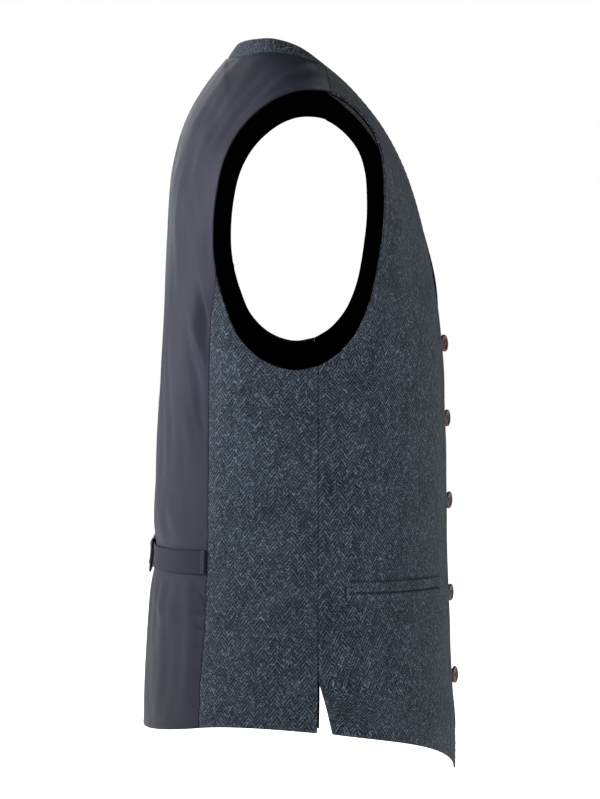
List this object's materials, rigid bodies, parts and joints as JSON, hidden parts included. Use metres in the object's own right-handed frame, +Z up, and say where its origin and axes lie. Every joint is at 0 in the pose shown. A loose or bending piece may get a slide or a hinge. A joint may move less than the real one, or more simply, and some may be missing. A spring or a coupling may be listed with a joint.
{
  "type": "suit waistcoat",
  "caption": "Buttoned suit waistcoat in the shape of its wearer: V neck, pointed hem, jetted waist pockets, side vents, satin back with a cinch strap.",
  "frame": {"origin": "midway between the two shoulder straps, at the height where they bear on the wearer's shoulders", "axes": "+X is the wearer's front, +Y the wearer's left, +Z up"},
  "size_m": [0.2787, 0.356, 0.6267],
  "materials": {
    "tweed": "wool herringbone tweed, blue-grey on dark navy, matt",
    "satin": "plain slate-grey satin, soft sheen",
    "lining": "black lining",
    "button": "polished dark reddish-brown horn look",
    "buckle": "dark enamel"
  },
  "bodies": {
    "root": {"front_right": "tweed", "front_left": "tweed", "side_body_right": "tweed", "side_body_left": "tweed", "neck_band": "tweed", "pocket_jet_upper_right": "tweed", "pocket_jet_lower_right": "tweed", "pocket_jet_upper_left": "tweed", "pocket_jet_lower_left": "tweed", "back_right": "satin", "back_left": "satin", "strap_right": "satin", "strap_left": "satin", "lining_front_right": "lining", "lining_front_left": "lining", "lining_side_body_right": "lining", "lining_side_body_left": "lining", "lining_back_right": "lining", "lining_back_left": "lining", "button_1": "button", "button_2": "button", "button_3": "button", "button_4": "button", "button_5": "button", "buckle": "buckle"}
  },
  "joints": []
}
